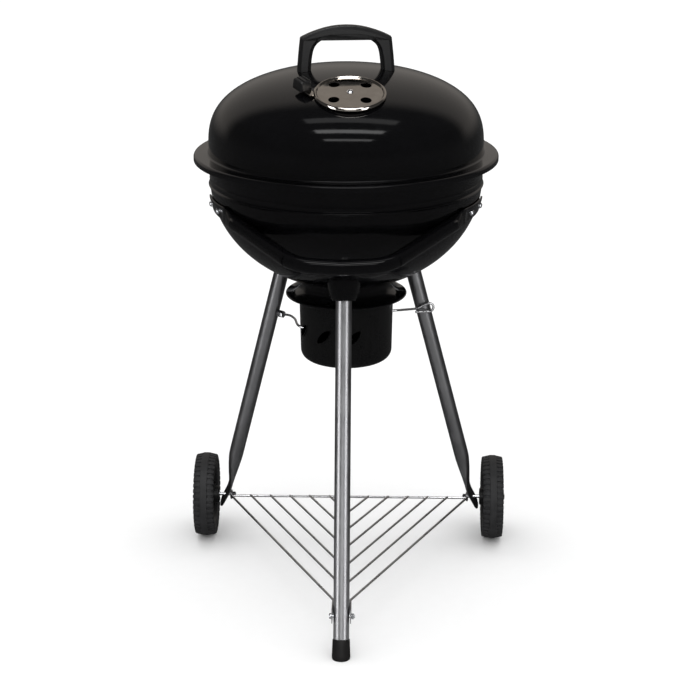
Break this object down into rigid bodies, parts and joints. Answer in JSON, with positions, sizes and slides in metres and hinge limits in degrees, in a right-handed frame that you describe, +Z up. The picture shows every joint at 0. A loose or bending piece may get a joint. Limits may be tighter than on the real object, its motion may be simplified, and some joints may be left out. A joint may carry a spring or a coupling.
{
  "type": "kettle charcoal grill",
  "caption": "Free-standing kettle charcoal grill with a lift-off enamelled lid, turning damper, ash can, wire rack and wheels on tube legs",
  "frame": {"origin": "on the ground, under the middle of the footprint", "axes": "+Z up, -Y to the front where the side handle and the single front leg are, +X to the right seen from the front, along the wheel axis"},
  "size_m": [0.5624, 0.5697, 0.9533],
  "materials": {
    "black_enamel": "glossy black porcelain enamel",
    "polished_steel": "polished stainless steel",
    "leg_metal": "satin plated steel tube",
    "plated_wire": "bright plated wire",
    "black_moulding": "satin black moulding",
    "can_black": "satin black paint",
    "tyre_black": "matte black tread",
    "rubber_black": "matte black rubber",
    "fastener_zinc": "bright zinc plating",
    "grate_steel": "plated steel rod"
  },
  "bodies": {
    "stand": {"bowl_shell": "black_enamel", "side_handle": "black_enamel", "ash_collar": "black_enamel", "front_leg_socket": "black_enamel", "left_leg_socket": "black_enamel", "right_leg_socket": "black_enamel", "front_grate_bracket": "black_enamel", "left_grate_bracket": "black_enamel", "right_grate_bracket": "black_enamel", "front_leg": "leg_metal", "left_leg": "leg_metal", "right_leg": "leg_metal", "bottom_rack": "plated_wire", "front_foot": "rubber_black", "left_rear_handle_rivet": "fastener_zinc", "left_front_handle_rivet": "fastener_zinc", "right_rear_handle_rivet": "fastener_zinc", "right_front_handle_rivet": "fastener_zinc", "front_socket_screw": "fastener_zinc", "left_socket_screw": "fastener_zinc", "right_socket_screw": "fastener_zinc", "left_wheel_bolt": "fastener_zinc", "right_wheel_bolt": "fastener_zinc", "left_wheel_nut": "fastener_zinc", "right_wheel_nut": "fastener_zinc", "rack_bolt": "fastener_zinc", "rack_nut": "fastener_zinc", "hanger_nut": "fastener_zinc"},
    "lid": {"lid_shell": "black_enamel", "lid_handle": "black_moulding", "left_lid_handle_screw": "fastener_zinc", "right_lid_handle_screw": "fastener_zinc", "damper_rivet": "fastener_zinc"},
    "damper": {"damper_disc": "polished_steel", "damper_knob": "black_moulding"},
    "left_road_wheel": {"left_tyre": "tyre_black", "left_wheel": "black_moulding"},
    "right_road_wheel": {"right_tyre": "tyre_black", "right_wheel": "black_moulding"},
    "cooking_rack": {"cooking_grate": "grate_steel"},
    "charcoal_rack": {"charcoal_grate": "grate_steel"},
    "ash_bucket": {"ash_can": "can_black", "left_hanger": "plated_wire", "right_hanger": "plated_wire"}
  },
  "joints": [
    {"name": "lid_lift", "type": "slide", "parent": "stand", "child": "lid", "axis": [0, 0, 1], "range_m": [0, 0.35]},
    {"name": "damper_turn", "type": "hinge", "parent": "lid", "child": "damper", "pos_m": [0.00969, -0.09603, 0.86879], "axis": [0.0208, -0.2835, 0.9587], "range_deg": [0, 45]},
    {"name": "left_wheel_spin", "type": "hinge", "parent": "stand", "child": "left_road_wheel", "pos_m": [-0.258, 0.21033, 0.075], "axis": [1, 0, 0], "continuous": true},
    {"name": "right_wheel_spin", "type": "hinge", "parent": "stand", "child": "right_road_wheel", "pos_m": [0.258, 0.21033, 0.075], "axis": [1, 0, 0], "continuous": true},
    {"name": "cooking_grate_lift", "type": "slide", "parent": "stand", "child": "cooking_rack", "axis": [0, 0, 1], "range_m": [0, 0.07]},
    {"name": "charcoal_grate_lift", "type": "slide", "parent": "stand", "child": "charcoal_rack", "axis": [0, 0, 1], "range_m": [0, 0.07]},
    {"name": "ash_can_drop", "type": "slide", "parent": "stand", "child": "ash_bucket", "axis": [0, 0, -1], "range_m": [0, 0.2]}
  ]
}
